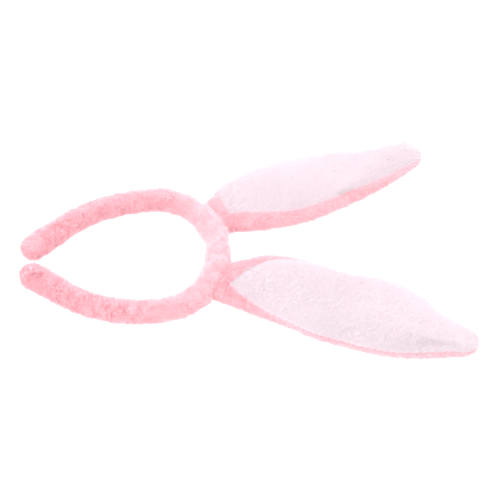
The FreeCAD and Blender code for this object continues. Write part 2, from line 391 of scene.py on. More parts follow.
class NodeTree:
    """A geometry node tree with named inputs and a short way to add nodes."""

    def __init__(self, name, inputs):
        self.group = bpy.data.node_groups.new(name, "GeometryNodeTree")
        self.group.interface.new_socket("Geometry", in_out="INPUT", socket_type="NodeSocketGeometry")
        for title, kind in inputs.items():
            self.group.interface.new_socket(title, in_out="INPUT", socket_type="NodeSocket" + kind)
        self.group.interface.new_socket("Geometry", in_out="OUTPUT", socket_type="NodeSocketGeometry")
        self.inlet = self.group.nodes.new("NodeGroupInput")

    def given(self, title):
        return Plug(self.inlet.outputs[title])

    def node(self, kind, settings, inputs, output=0):
        made = self.group.nodes.new(kind)
        for name, value in settings.items():
            setattr(made, name, value)
        pairs = inputs.items() if isinstance(inputs, dict) else enumerate(inputs)
        for key, value in pairs:
            if isinstance(value, Plug):
                self.group.links.new(value.socket, made.inputs[key])
            else:
                made.inputs[key].default_value = value
        return Plug(made.outputs[output] if len(made.outputs) else None)

    def twin(self, plug, output):
        """Another output of the node that a plug belongs to."""
        return Plug(plug.socket.node.outputs[output])

    def math(self, kind, first, second):
        return self.node("ShaderNodeMath", {"operation": kind}, [first, second])

    def vector_math(self, kind, inputs):
        return self.node("ShaderNodeVectorMath", {"operation": kind}, inputs)

    def stored(self, geometry, title, value, kind="FLOAT"):
        settings = {"data_type": kind, "domain": "POINT"}
        inputs = {"Geometry": geometry, "Name": title, "Value": value}
        return self.node("GeometryNodeStoreNamedAttribute", settings, inputs)

    def named(self, title, kind):
        return self.node("GeometryNodeInputNamedAttribute", {"data_type": kind}, {"Name": title})

    def random(self, low, high, seed, salt):
        seeds = self.math("ADD", seed, salt)
        made = self.node("FunctionNodeRandomValue", {"data_type": "FLOAT"}, {"Seed": seeds}, 1)
        numbers = [socket for socket in made.socket.node.inputs if socket.type == "VALUE"]
        numbers[0].default_value, numbers[1].default_value = low, high
        return made

    def finish(self, geometry, material):
        whole = self.node("GeometryNodeRealizeInstances", {}, [geometry])
        painted = self.node("GeometryNodeSetMaterial", {}, {"Geometry": whole, "Material": material})
        self.node("NodeGroupOutput", {}, [painted])
        return self.group


def run_tree(source, name, group, values):
    """The plain mesh that a node tree makes from a source object."""
    modifier = source.modifiers.new(name, "NODES")
    modifier.node_group = group
    for socket in group.interface.items_tree:
        if socket.in_out == "INPUT" and socket.name in values:
            modifier[socket.identifier] = values[socket.name]
    made = evaluated(source, name)
    source.modifiers.remove(modifier)
    return made


# %% [markdown]
# Hair curves could make the pile, but a plain mesh can be read by any program, so fibres are made as
# small spikes. The tree scatters points on the outer face, stands one thin spike of four triangles on
# each, and turns it from the face's normal towards the nap, which is the way the pile was brushed. Smooth
# noise ruffles neighbouring fibres together, and that makes the soft tufts of real plush. A few guard
# hairs stand out longer.

# %% Node tree for the pile
GUARD_HAIR = 0.6
FULL_TURN = 6.283
SHORTEST, SPREAD = 0.7, 0.4


def pile_tree():
    sizes = {
        "Density": "Float", "Length": "Float", "Thickness": "Float", "Lean": "Float",
        "Ruffle": "Float", "Ruffle Scale": "Float", "Uneven": "Float", "Seed": "Int",
        "Material": "Material",
    }
    tree = NodeTree("plush pile", sizes)
    seed = tree.given("Seed")
    scatter = {"Mesh": tree.given("Geometry"), "Density": tree.given("Density"), "Seed": seed}
    settings = {"distribute_method": "RANDOM"}
    roots = tree.node("GeometryNodeDistributePointsOnFaces", settings, scatter, "Points")
    normal = tree.twin(roots, "Normal")
    roots = tree.stored(roots, "tint", tree.random(0.0, 1.0, seed, 11))

    place = tree.node("GeometryNodeInputPosition", {}, [])
    tufts = {"Vector": place, "Scale": tree.given("Ruffle Scale"), "Detail": 2.0}
    swirl = tree.node("ShaderNodeTexNoise", {}, tufts, "Color")
    tuft = tree.math("SUBTRACT", tree.twin(swirl, 0), 0.5)
    tuft = tree.math("ADD", tree.math("MULTIPLY", tuft, tree.given("Uneven")), 1.0)
    swirl = tree.vector_math("SUBTRACT", [swirl, (0.5, 0.5, 0.5)])
    swirl = tree.vector_math("SCALE", {"Vector": swirl, "Scale": tree.given("Ruffle")})
    nap = tree.named("nap", "FLOAT_VECTOR")
    brushed = tree.vector_math("SCALE", {"Vector": nap, "Scale": tree.given("Lean")})
    stand = tree.vector_math("ADD", [normal, brushed])
    stand = tree.vector_math("ADD", [stand, swirl])
    turn = tree.node("FunctionNodeAlignRotationToVector", {"axis": "Z"}, {"Vector": stand})
    spin = tree.node("ShaderNodeCombineXYZ", {}, {"Z": tree.random(0.0, FULL_TURN, seed, 23)})
    turn = tree.node("FunctionNodeRotateRotation", {"rotation_space": "LOCAL"}, [turn, spin])

    uneven = tree.random(0.0, 1.0, seed, 37)
    guard_hairs = tree.math("MULTIPLY", tree.math("POWER", uneven, 8.0), GUARD_HAIR)
    uneven = tree.math("ADD", tree.math("MULTIPLY", uneven, SPREAD), SHORTEST)
    length = tree.math("MULTIPLY", tree.given("Length"), tree.math("ADD", uneven, guard_hairs))
    length = tree.math("MULTIPLY", length, tree.named("pile", "FLOAT"))
    length = tree.math("MULTIPLY", length, tuft)
    thick = tree.given("Thickness")
    size = tree.node("ShaderNodeCombineXYZ", {}, {"X": thick, "Y": thick, "Z": length})
    cone = {"Vertices": 3, "Radius Top": 0.0, "Radius Bottom": 1.0, "Depth": 1.0}
    spike = tree.node("GeometryNodeMeshCone", {"fill_type": "NGON"}, cone, "Mesh")
    height = tree.node("ShaderNodeSeparateXYZ", {}, [place], "Z")
    spike = tree.stored(spike, "reach", height)
    planted = {"Points": roots, "Instance": spike, "Rotation": turn, "Scale": size}
    return tree.finish(tree.node("GeometryNodeInstanceOnPoints", {}, planted), tree.given("Material"))


PILE = pile_tree()
print("pile tree has", len(PILE.nodes), "nodes")

# %% [markdown]
# The cloths differ in their pile. The pink on the hoop is long and tufted, because the tube is tight and
# bends it open. On the ears' backs it lies calmer. The white is short, dense and brushed almost flat, so
# it looks smooth. One tree makes them all, and only its inputs change. Two attributes tell the tree about
# a place on the cloth: "nap" is the way the pile is brushed, and "pile" is its share of the full length.

# %% Grow a pile
@dataclass
class Pile:
    material: object
    fibres_per_m2: float
    length: float
    radius: float
    lean: float
    ruffle: float
    ruffle_scale: float
    uneven: float


PILES = {
    "hoop": Pile(
        pink_pile, fibres_per_m2=5.4e6, length=3.2 * MM, radius=0.14 * MM,
        lean=0.55, ruffle=2.0, ruffle_scale=190.0, uneven=1.15,
    ),
    "back": Pile(
        pink_pile, fibres_per_m2=5.6e6, length=2.8 * MM, radius=0.15 * MM,
        lean=0.55, ruffle=1.2, ruffle_scale=170.0, uneven=0.7,
    ),
    "lining": Pile(
        white_pile, fibres_per_m2=7.5e6, length=1.8 * MM, radius=0.19 * MM,
        lean=1.0, ruffle=0.35, ruffle_scale=45.0, uneven=0.2,
    ),
}


def grow_pile(scalp, name, kind, seed):
    pile = PILES[kind]
    values = {
        "Density": pile.fibres_per_m2,
        "Length": pile.length,
        "Thickness": pile.radius,
        "Lean": pile.lean,
        "Ruffle": pile.ruffle,
        "Ruffle Scale": pile.ruffle_scale,
        "Uneven": pile.uneven,
        "Seed": seed,
        "Material": pile.material,
    }
    made = run_tree(scalp, name, PILE, values)
    print(f"{name}: {shown_triangles(made)} triangles")
    return made


def set_nap(scalp, vectors, lengths):
    """Writes the brushing direction and the share of full pile length on every vertex."""
    nap = scalp.data.attributes.new("nap", "FLOAT_VECTOR", "POINT")
    nap.data.foreach_set("vector", np.asarray(vectors, np.float32).ravel())
    pile = scalp.data.attributes.new("pile", "FLOAT", "POINT")
    pile.data.foreach_set("value", np.asarray(lengths, np.float32))


# %% [markdown]
# The sleeve of the hoop is one long tube. A bevelled curve would give an even pipe, but this tube is
# stuffed by hand: it swells where an ear is sewn on and towards its ends, and it closes in a puckered
# dome. So a rule gives the radius at every place. Slow noise adds the unevenness, and it is read at the
# place in the room, so the two halves of the tube meet without a step.

# %% Radius of the sleeve
SLEEVE_R = 6.3 * MM
SLEEVE_LUMPS = 0.5 * MM
LUMP_SIZE = 14 * MM
FOOT_SWELL = 0.7 * MM
FOOT_REACH = 14.0 * MM
END_ROUND = 7.5 * MM
END_REACH = 0.85
END_SWELL = 0.9 * MM
END_FULL = 40.0 * MM
END_BLUNT = 2.2
END_PUCKERS = 7
PUCKER_DEPTH = 0.10


def lump(point, size):
    """Smooth unevenness from -1 to 1 at a place, with lumps of about the given size."""
    return noise.noise(Vector(point) / size, noise_basis="PERLIN_ORIGINAL")


def sleeve_radius(distance, angle, point):
    past = distance - (HOOP_HALF - END_ROUND * (1 - END_REACH))
    size = SLEEVE_R + SLEEVE_LUMPS * lump(point, LUMP_SIZE)
    size += FOOT_SWELL * max(0.0, 1.0 - ((distance - distance_of(EAR_HEADING)) / FOOT_REACH) ** 2)
    size += END_SWELL * max(0.0, 1.0 - (HOOP_HALF - distance) / END_FULL)
    if past > 0:
        close = min(past / END_ROUND, 1.0)
        size *= math.sqrt(max(1.0 - close ** END_BLUNT, 0.0))
        size *= 1.0 + PUCKER_DEPTH * close * math.cos(END_PUCKERS * angle)
    return size


print("sleeve is", round(2 * SLEEVE_R / MM, 1), "mm thick without its pile")

# %% [markdown]
# On the real headband the sleeve is one piece. Here each half is drawn on its own, from the middle of the
# crown to its end, because a piece can bend at one joint only and each arm has a joint. The net is rings
# of vertices joined by quads, closed at the end by a fan round one pole.

# %% Sleeve of the hoop
RING = 28
STEP = 3.0 * MM
SMALLEST_RING = 0.2 * MM
END_RINGS = (0.22, 0.10, 0.03)
SLEEVE_CLOTH = 1.0 * MM


def sleeve_net(side, inset=0.0):
    """Vertices, faces and brushing directions of one half of the tube."""
    total = HOOP_HALF + END_ROUND * END_REACH
    count = int(total / STEP)
    stations = [total * k / count for k in range(count)]
    stations = sorted(stations + [total - END_ROUND * share for share in END_RINGS])
    verts, nap = [], []
    for distance in stations:
        centre, heading = hoop_at(distance)
        for k in range(RING):
            angle = 2 * math.pi * k / RING
            ray = outward(heading) * math.cos(angle) + Vector((0, math.sin(angle), 0))
            spot = centre + ray * SLEEVE_R
            spot.x *= side
            radius = max(sleeve_radius(distance, angle, spot) - inset, SMALLEST_RING)
            point = centre + ray * radius
            verts.append(Vector((point.x * side, point.y, point.z)))
            flow = along(heading) * -side
            nap.append((flow.x * side, flow.y, flow.z))
    pole, heading = hoop_at(total - inset)
    verts.append(Vector((pole.x * side, 0, pole.z)))
    flow = along(heading) * -side
    nap.append((flow.x * side, 0, flow.z))
    faces = []
    for row in range(len(stations) - 1):
        for k in range(RING):
            a, b = row * RING + k, row * RING + (k + 1) % RING
            faces.append((a, b, b + RING, a + RING))
    last = (len(stations) - 1) * RING
    faces += [(last + k, last + (k + 1) % RING, len(verts) - 1) for k in range(RING)]
    if side > 0:
        faces = [face[::-1] for face in faces]
    return verts, faces, nap


hoop_scalps = {}
hoop_covers = {}
for side_name, side in SIDES.items():
    net, quads, brushed = sleeve_net(side)
    scalp = make_object(f"scalp_hoop_{side_name}", net, quads, pink_backing)
    set_nap(scalp, brushed, [1.0] * len(net))
    hoop_scalps[side_name] = scalp
    hoop_covers[side_name] = thickened(scalp, f"hoop_cover_{side_name}", SLEEVE_CLOTH)
    print(f"hoop_cover_{side_name}: {shown_triangles(hoop_covers[side_name])} triangles")

# %% [markdown]
# The pile is a piece of its own on each half, grown on the outer face that was kept for it. The nap runs
# one way along the whole tube, from one end over the crown to the other, because the sleeve is cut from
# one piece of cloth. Each half has its own seed, so they aren't mirror images.

# %% Pile of the hoop
HOOP_SEED = 40
hoop_piles = {}
for side_name, scalp in hoop_scalps.items():
    seed = HOOP_SEED + SIDES[side_name]
    hoop_piles[side_name] = grow_pile(scalp, f"hoop_pile_{side_name}", "hoop", seed)

# %% [markdown]
# Inside the sleeve a soft core of wadding is wrapped round the strip. It is the same net drawn in by the
# thickness of the cloth and a hair more, closed at the crown with a flat cut.

# %% Wadding of the hoop
UNDER_CLOTH = 0.15 * MM
hoop_cores = {}
for side_name, side in SIDES.items():
    net, quads, _ = sleeve_net(side, inset=SLEEVE_CLOTH + UNDER_CLOTH)
    middle = len(net)
    net.append(sum(net[:RING], Vector()) / RING)
    fan = [(k, (k + 1) % RING, middle) for k in range(RING)]
    core = make_object(f"hoop_wadding_soft_{side_name}", net, quads + fan, wadding)
    face_outwards(core)
    core.data.shade_smooth()
    hoop_cores[side_name] = core
    print(f"{core.name}: {shown_triangles(core)} triangles")

# %% [markdown]
# Each ear is a flat stuffed bag: a pink back whose edges roll round to the front, and a white lining sewn
# into it. Seen across, the section is a pillow, fuller behind. The inner edge, towards the other ear, is
# fatter, so its pink shows as a band from the front. The two ears were stuffed and set by hand, so their
# outlines differ a little. Heights run along the ear from the hoop's centreline.

# %% Shape of an ear
@dataclass
class Ear:
    length: float
    half_width: list
    lean_out: list
    bend_back: list
    inner_seam: list
    outer_seam: list
    front: list
    back: list


def curve(points, height):
    """A smooth curve through a few (height, value) points, all in millimetres or degrees."""
    heights = [p[0] for p in points]
    k = max(0, min(len(points) - 2, int(np.searchsorted(heights, height)) - 1))
    (h0, v0), (h1, v1) = points[k], points[k + 1]
    before = points[k - 1] if k > 0 else (2 * h0 - h1, 2 * v0 - v1)
    after = points[k + 2] if k + 2 < len(points) else (2 * h1 - h0, 2 * v1 - v0)
    slope0 = (v1 - before[1]) / (h1 - before[0])
    slope1 = (after[1] - v0) / (after[0] - h0)
    t = min(max((height - h0) / (h1 - h0), 0.0), 1.0)
    span = h1 - h0
    rise = (2 * t ** 3 - 3 * t ** 2 + 1) * v0 + (3 * t ** 2 - 2 * t ** 3) * v1
    return rise + (t ** 3 - 2 * t ** 2 + t) * span * slope0 + (t ** 3 - t ** 2) * span * slope1


EARS = {
    "right": Ear(
        length=167.5,
        half_width=[(0, 11.7), (12, 15.0), (30, 23.7), (58, 29.2), (85, 27.9), (105, 24.7),
                    (125, 19.6), (145, 14.8), (158, 12.4), (170, 11.6)],
        lean_out=[(0, 1.1), (12, 2.2), (30, 2.3), (60, -1.0), (85, -2.3), (103, -3.6), (125, -6.8),
                  (135, -7.8), (155, -8.2), (170, -7.2)],
        bend_back=[(0, 0), (60, -0.6), (103, 0.6), (135, 2.0), (170, 2.6)],
        inner_seam=[(13, -68), (22, -60), (35, -50), (50, -40), (90, -31), (120, -29), (150, -20),
                    (170, -12)],
        outer_seam=[(13, -112), (15.5, -70), (19, -30), (30, -14), (60, -8), (170, -4)],
        front=[(0, 3.5), (10, 4.4), (20, 5.0), (40, 5.0), (90, 4.6), (140, 4.2), (170, 3.6)],
        back=[(0, 8.5), (14, 8.5), (40, 10.0), (90, 10.0), (140, 7.5), (170, 4.0)],
    ),
    "left": Ear(
        length=174.0,
        half_width=[(0, 12.5), (12, 16.3), (28, 22.7), (50, 26.2), (85, 28.0), (108, 29.2),
                    (128, 25.9), (146, 17.9), (160, 11.2), (170, 9.2), (176, 8.8)],
        lean_out=[(0, 0.5), (12, -1.9), (30, -6.0), (55, -5.5), (80, -3.3), (107, -5.3), (135, -4.4),
                  (160, -3.0), (176, -3.2)],
        bend_back=[(0, 0), (60, -0.6), (107, 0.8), (135, 2.0), (176, 2.2)],
        inner_seam=[(13, -112), (20, -82), (30, -56), (42, -38), (60, -22), (90, -8), (176, -4)],
        outer_seam=[(13, -68), (22, -46), (36, -26), (52, -13), (75, -4), (176, -2)],
        front=[(0, 3.5), (10, 4.4), (20, 5.2), (40, 5.6), (90, 5.8), (140, 4.8), (176, 4.0)],
        back=[(0, 8.5), (14, 8.5), (40, 9.5), (90, 9.0), (140, 7.0), (176, 4.0)],
    ),
}

print("the ears are", [ear.length for ear in EARS.values()], "mm long")

# %% [markdown]
# A section of the ear is two half superellipses, one in front and one behind, so it can be fuller behind.
# A superellipse was chosen because one number sets how full the pillow is. The foot is shaped like a
# saddle, so that it sits on the round sleeve, and the tip closes in a blunt curve. The lining's foot is
# at the apex.

# %% Rows and sections of an ear
APEX = 13.0
SPLIT_AT = 62.0
BASE_ROWS, LOW_ROWS, HIGH_ROWS, TIP_ROWS = 4, 14, 26, 8
FULLNESS = 2.35
TIP_ROUND = 9.0
TIP_BLUNT = 2.1
TIP_THIN = 0.25
TIP_FLAT = 0.4
SINK = 1.2
SADDLE_FADE = 16.0


def ear_rows(ear):
    """Heights of the rows, in millimetres: even up the ear and closer at the blunt tip."""
    neck = [APEX * k / BASE_ROWS for k in range(BASE_ROWS)]
    low = [APEX + (SPLIT_AT - APEX) * k / LOW_ROWS for k in range(LOW_ROWS)]
    top = ear.length - TIP_ROUND
    high = [SPLIT_AT + (top - SPLIT_AT) * k / HIGH_ROWS for k in range(HIGH_ROWS)]
    tip = [top + TIP_ROUND * math.sin(math.pi / 2 * k / TIP_ROWS) for k in range(TIP_ROWS)]
    return neck + low + high + tip


def taper(ear, height):
    """Rounds the blunt tip off, from 1 below it to 0 at the end."""
    past = max(0.0, (height - (ear.length - TIP_ROUND)) / TIP_ROUND)
    return math.sqrt(max(1.0 - past ** TIP_BLUNT, 0.0))


def section_point(ear, height, angle):
    """A point of the section in the ear's own frame: outwards, back and up, in millimetres."""
    end = taper(ear, height)
    wide = curve(ear.half_width, height) * end
    cosine, sine = math.cos(math.radians(angle)), math.sin(math.radians(angle))
    bulge = curve(ear.back if sine > 0 else ear.front, height)
    deep = bulge * (TIP_THIN + (1 - TIP_THIN) * end) * end ** TIP_FLAT
    power = 2.0 / FULLNESS
    across = math.copysign(abs(cosine) ** power, cosine) * wide + curve(ear.lean_out, height)
    depth = math.copysign(abs(sine) ** power, sine) * deep + curve(ear.bend_back, height)
    return across, depth, height


def hub_saddle(across, depth, height):
    """Lifts the foot of the ear on to the round sleeve that it is sewn to."""
    tube = math.sqrt(max((SLEEVE_R / MM) ** 2 - depth ** 2, 0.0)) - SINK
    crown_radius = HOOP_ARCS[0][0] / MM
    fade = max(0.0, 1.0 - height / SADDLE_FADE)
    return height + (tube - across ** 2 / (2 * crown_radius)) * fade


def ear_to_frame(side, across, depth, height):
    """From the ear's own frame to the headband's."""
    base = ear_foot + along(EAR_HEADING) * (across * MM) + outward(EAR_HEADING) * (height * MM)
    return Vector((base.x * side, depth * MM, base.z))


print("an ear has", len(ear_rows(EARS["left"])), "rows")

# %% [markdown]
# The net of an ear has two sheets that share the seam: the lining from its pointed foot to the tip, and
# the back, which is a full ring below that foot. A ready-made plane or ball could be sculpted, but a net
# that is drawn row by row has its edges exactly on the seams. Rows are level, columns run from seam to
# seam, and a seam is an angle on the section, counted from the ear's edge.

# %% Net of an ear
LINING_COLUMNS = 18
BACK_COLUMNS = 30


def ear_net(ear, side):
    """The bag's vertices, its three lists of faces, the height of every vertex, and the two seams."""
    rows = ear_rows(ear)
    verts, index, heights = [], {}, []

    def vertex(row, angle):
        key = (row, round(angle % 360.0, 4))
        if key not in index:
            across, depth, height = section_point(ear, rows[row], angle)
            index[key] = len(verts)
            verts.append(ear_to_frame(side, across, depth, hub_saddle(across, depth, height)))
            heights.append(height)
        return index[key]

    def sheet(first_row, start, stop, columns):
        grid = []
        for row in range(first_row, len(rows)):
            a, b = start(rows[row]), stop(rows[row])
            grid.append([vertex(row, a + (b - a) * k / columns) for k in range(columns + 1)])
        made = []
        for low, high in zip(grid, grid[1:]):
            for k in range(columns):
                corners = [low[k], low[k + 1], high[k + 1], high[k]]
                corners = [v for n, v in enumerate(corners) if v not in corners[:n]]
                if len(corners) > 2:
                    made.append(tuple(corners))
        return made, grid[-1]

    def inner_seam(height):
        return -180.0 - curve(ear.inner_seam, max(height, APEX))

    def outer_seam(height):
        return curve(ear.outer_seam, max(height, APEX))

    lining, lining_top = sheet(BASE_ROWS, inner_seam, outer_seam, LINING_COLUMNS)
    back, back_top = sheet(0, outer_seam, lambda height: inner_seam(height) + 360.0, BACK_COLUMNS)
    peak = len(verts)
    tip = (curve(ear.lean_out, ear.length), curve(ear.bend_back, ear.length), ear.length)
    verts.append(ear_to_frame(side, *tip))
    heights.append(ear.length)
    lining += [(a, b, peak) for a, b in zip(lining_top, lining_top[1:]) if a != b]
    back += [(a, b, peak) for a, b in zip(back_top, back_top[1:]) if a != b]
    foot = [vertex(0, outer_seam(0) + 360.0 * k / BACK_COLUMNS) for k in range(BACK_COLUMNS)]
    base = len(verts)
    verts.append(sum((verts[v] for v in foot), Vector()) / len(foot))
    heights.append(0.0)
    floor = [(foot[k], foot[(k + 1) % len(foot)], base) for k in range(len(foot))]
    seam_rows = range(BASE_ROWS, len(rows))
    seams = [[vertex(row, seam(rows[row])) for row in seam_rows] for seam in (inner_seam, outer_seam)]
    return verts, lining, back, floor, heights, seams


ear_nets = {name: ear_net(EARS[name], side) for name, side in SIDES.items()}
print("vertices of the nets:", {name: len(net[0]) for name, net in ear_nets.items()})

# %% [markdown]
# Padding is easiest to believe when it is simulated. The bag is inflated as cloth with a little pressure:
# its foot is pinned, gravity is off, and no point may move more than a few millimetres, so the measured
# outline stays. The net's own grid is fine enough, so no remeshing is needed and the seams stay exact.

# %% Inflate a bag
PRESSURE = 4.0
MAX_SWELL = 2.2 * MM
LAST_FRAME = 20


def inflate(bag, pinned):
    """Blows the bag up with its pinned vertices held, and keeps every point near its place."""
    rest = np.array([v.co for v in bag.data.vertices], float)
    group = bag.vertex_groups.new(name="sewn down")
    group.add(pinned, 1.0, "REPLACE")
    cloth = bag.modifiers.new("stuffing", "CLOTH")
    cloth.settings.quality = 5
    cloth.settings.mass = 0.15
    cloth.settings.tension_stiffness = 12
    cloth.settings.compression_stiffness = 12
    cloth.settings.bending_stiffness = 1.5
    cloth.settings.vertex_group_mass = group.name
    cloth.settings.use_pressure = True
    cloth.settings.uniform_pressure_force = PRESSURE
    cloth.settings.effector_weights.gravity = 0.0
    cloth.collision_settings.use_collision = False
    cloth.collision_settings.use_self_collision = False
    cloth.point_cache.frame_start, cloth.point_cache.frame_end = 1, LAST_FRAME
    for moment in range(1, LAST_FRAME + 1):
        bpy.context.scene.frame_set(moment)
    graph = bpy.context.evaluated_depsgraph_get()
    swollen = np.array([v.co for v in bag.evaluated_get(graph).data.vertices], float)
    bag.modifiers.remove(cloth)
    bpy.context.scene.frame_set(1)
    move = swollen - rest
    length = np.linalg.norm(move, axis=1, keepdims=True)
    move *= np.minimum(1.0, MAX_SWELL / np.maximum(length, 1e-12))
    bag.data.vertices.foreach_set("co", (rest + move).astype(np.float32).ravel())
    bag.data.update()
    print(f"{bag.name}: swelled by {length.max() / MM:.1f} mm at most, kept to {MAX_SWELL / MM} mm")


# %% [markdown]
# A real ear is cut flat and sewn, and sewing flat patterns together can be simulated too, but the seams
# would wander. Here the inflated bag is divided the way it is sewn, into the back and the lining, and
# again at mid height, where the lower part leans at the hoop and the upper part folds. These helpers cut
# a part out of the bag and brush its pile.

# %% Cut parts out of a bag
LEVELS = ("lower", "upper")
NECK_PILE = 0.6
NECK_PILE_REACH = 30.0


def level_of(face, heights):
    middle = sum(heights[v] for v in face) / len(face)
    return "lower" if middle < SPLIT_AT else "upper"


def part_of(places, name, faces, material):
    """Some faces of a bag as an object of their own, and the bag's vertices that they use."""
    used = sorted({v for face in faces for v in face})
    fresh = {old: new for new, old in enumerate(used)}
    verts = [places[v] for v in used]
    made = make_object(name, verts, [tuple(fresh[v] for v in face) for face in faces], material)
    return made, used


def ear_nap(used, lean_way, heights):
    """Pile is brushed upwards, leaning the way that lean_way says, and lies shorter near the neck."""
    up = outward(EAR_HEADING)
    vectors = [(up.x * lean_way, 0.0, up.z)] * len(used)
    lengths = [min(1.0, NECK_PILE + heights[v] / NECK_PILE_REACH) for v in used]
    return vectors, lengths


# %% [markdown]
# Each ear is now made: its bag is inflated, every part becomes a thickened shell that carries its own
# pile, and the stuffing is the same bag drawn in by the cloth's thickness. The nap of each back runs
# straight up its ear. The nap of both white linings runs the same way, as on two pieces cut side by side
# from one roll, so they catch the light alike.

# %% Both ears
CLOTH = 1.1 * MM
PINNED_BELOW = 8.0
SAME_ROW = 0.1
EAR_SEED = 100
ear_parts = {}
ear_seam_lines = {}
neck_rings = {}
for side_name, side in SIDES.items():
    net, lining, back, floor, heights, seams = ear_nets[side_name]
    bag = make_object(f"bag_{side_name}", net, lining + back + floor, pink_backing)
    face_outwards(bag)
    inflate(bag, [v for v, height in enumerate(heights) if height < PINNED_BELOW])
    outer = [v.co.copy() for v in bag.data.vertices]
    inner = [v.co - v.normal * (CLOTH + UNDER_CLOTH) for v in bag.data.vertices]
    all_faces = [tuple(face.vertices) for face in bag.data.polygons]
    groups = {
        "lining": (all_faces[: len(lining)], white_backing),
        "back": (all_faces[len(lining) : len(lining) + len(back)], pink_backing),
    }
    for cloth_name, (faces, material) in groups.items():
        lean_way = -1 if cloth_name == "lining" else side
        for level in LEVELS:
            chosen = [face for face in faces if level_of(face, heights) == level]
            part_name = f"{side_name}_{level}"
            scalp, used = part_of(outer, f"scalp_{cloth_name}_{part_name}", chosen, material)
            set_nap(scalp, *ear_nap(used, lean_way, heights))
            cover = thickened(scalp, f"ear_{cloth_name}_cover_{part_name}", CLOTH)
            seed = EAR_SEED + 10 * len(ear_parts)
            pile = grow_pile(scalp, f"ear_{cloth_name}_pile_{part_name}", cloth_name, seed)
            ear_parts[(cloth_name, side_name, level)] = (cover, pile)
            discard(scalp)
    for level in LEVELS:
        chosen = [face for face in all_faces if level_of(face, heights) == level]
        padding, _ = part_of(inner, f"ear_filling_{side_name}_{level}", chosen, wadding)
        face_outwards(padding, fill_rim=True)
        ear_parts[("filling", side_name, level)] = (padding, None)
    ear_seam_lines[side_name] = [[(outer[v], heights[v]) for v in line] for line in seams]
    neck_rings[side_name] = [outer[v] for v, height in enumerate(heights) if abs(height - APEX) < SAME_ROW]
    discard(bag)

# %% [markdown]
# A seam is the same stitch over and over along a line, so a second node tree lays it: the line is
# resampled at the pitch of the stitches, and a small ball drawn out into a bean of thread is set on every
# point, turned along the line.

# %% Node tree for stitches
def stitch_tree():
    sizes = {"Pitch": "Float", "Stitch": "Float", "Thread": "Float", "Material": "Material"}
    tree = NodeTree("stitches", sizes)
    path = tree.node("GeometryNodeMeshToCurve", {}, [tree.given("Geometry")])
    spaced = {"Curve": path, "Length": tree.given("Pitch")}
    path = tree.node("GeometryNodeResampleCurve", {"mode": "LENGTH"}, spaced)
    tangent = tree.node("GeometryNodeInputTangent", {}, [])
    turn = tree.node("FunctionNodeAlignRotationToVector", {"axis": "Z"}, {"Vector": tangent})
    ball = {"Segments": 6, "Rings": 5, "Radius": 0.5}
    stitch = tree.node("GeometryNodeMeshUVSphere", {}, ball, "Mesh")
    thread = tree.given("Thread")
    size = tree.node("ShaderNodeCombineXYZ", {}, {"X": thread, "Y": thread, "Z": tree.given("Stitch")})
    set_on = {"Points": path, "Instance": stitch, "Rotation": turn, "Scale": size}
    return tree.finish(tree.node("GeometryNodeInstanceOnPoints", {}, set_on), tree.given("Material"))


STITCHES = stitch_tree()


def sew(name, lines, pitch, stitch, thread):
    """Stitches along one or more lines of points, as one plain mesh."""
    verts = [point for line in lines for point in line]
    edges, start = [], 0
    for line in lines:
        edges += [(start + k, start + k + 1) for k in range(len(line) - 1)]
        start += len(line)
    mesh = bpy.data.meshes.new(name + "_line")
    mesh.from_pydata([tuple(v) for v in verts], edges, [])
    guide = put_in_scene(name + "_line", mesh)
    values = {"Pitch": pitch, "Stitch": stitch, "Thread": thread, "Material": pink_thread}
    made = run_tree(guide, name, STITCHES, values)
    made.data.shade_smooth()
    discard(guide)
    print(f"{name}: {shown_triangles(made)} triangles")
    return made


print("stitch tree has", len(STITCHES.nodes), "nodes")

# %% [markdown]
# The sleeve is closed by hand with a row of stitches on the side towards the head, 150 degrees round from
# the outside of the hoop, where it doesn't show. The line follows the centreline at the sleeve's surface.

# %% Seam of the sleeve
THREAD = 0.7 * MM
PITCH = 4 * MM
HOOP_STITCH = 3.2 * MM
SEAM_TURN = math.radians(150.0)
SEAM_STEP = 2 * MM
PROUD = 0.1 * MM
hoop_seams = {}
for side_name, side in SIDES.items():
    line = []
    for k in range(int(HOOP_HALF / SEAM_STEP)):
        centre, heading = hoop_at(SEAM_STEP * k)
        ray = outward(heading) * math.cos(SEAM_TURN) + Vector((0, math.sin(SEAM_TURN), 0))
        point = centre + ray * (SLEEVE_R + PROUD)
        line.append(Vector((point.x * side, point.y, point.z)))
    hoop_seams[side_name] = sew(f"hoop_seam_stitches_{side_name}", [line], PITCH, HOOP_STITCH, THREAD)

# %% [markdown]
# On an ear, stitches run up both edges of the lining, along the bag's own seam lines, and are divided
# where the bag is. The neck is gathered by one thread that goes all round it, so its ring of points is
# first put in order by angle and then closed.

# %% Threads of the ears
EAR_STITCH = 3.0 * MM
NECK_PITCH, NECK_STITCH = 2.2 * MM, 2.6 * MM
ear_stitches = {}
neck_threads = {}
for side_name, side in SIDES.items():
    for level in LEVELS:
        lines = []
        for line in ear_seam_lines[side_name]:
            lines.append([point for point, height in line if (height <= SPLIT_AT) == (level == "lower")])
        name = f"ear_seam_stitches_{side_name}_{level}"
        ear_stitches[(side_name, level)] = sew(name, lines, PITCH, EAR_STITCH, THREAD)
    ring = neck_rings[side_name]
    middle = sum(ring, Vector()) / len(ring)
    across = Vector((along(EAR_HEADING).x * side, 0, along(EAR_HEADING).z))
    ring.sort(key=lambda p: math.atan2(p.y - middle.y, (p - middle).dot(across)))
    name = f"ear_neck_thread_{side_name}"
    neck_threads[side_name] = sew(name, [ring + ring[:1]], NECK_PITCH, NECK_STITCH, THREAD)
